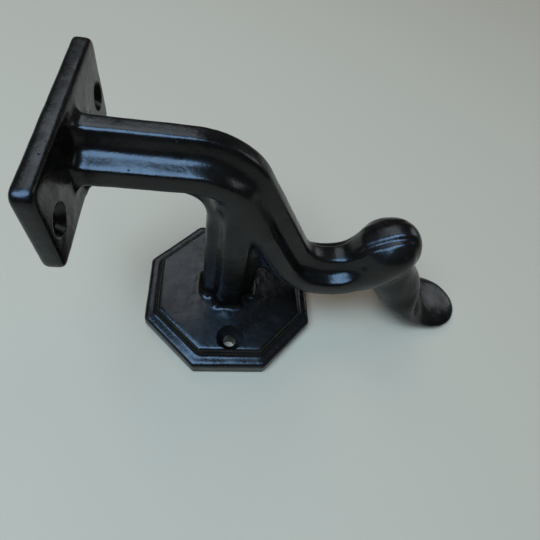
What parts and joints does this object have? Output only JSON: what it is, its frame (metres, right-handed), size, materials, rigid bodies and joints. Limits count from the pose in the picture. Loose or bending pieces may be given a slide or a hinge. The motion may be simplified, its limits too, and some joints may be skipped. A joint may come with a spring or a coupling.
{
  "type": "handrail bracket",
  "caption": "Cast iron handrail bracket with an octagonal wall rose, a ribbed arm curling down to a ball and a foot, and a flat screw plate for the rail.",
  "frame": {"origin": "centre of the octagonal rose's flat back face, in the plane of the wall", "axes": "+Z straight out from the wall, -X from the post towards the rail plate, +X along the tail towards the foot, +Y across the arm's plane of symmetry"},
  "size_m": [0.1755, 0.076, 0.102],
  "materials": {
    "black_paint": "satin black paint over cast iron"
  },
  "bodies": {
    "root": {"bracket_casting": "black_paint"}
  },
  "joints": []
}
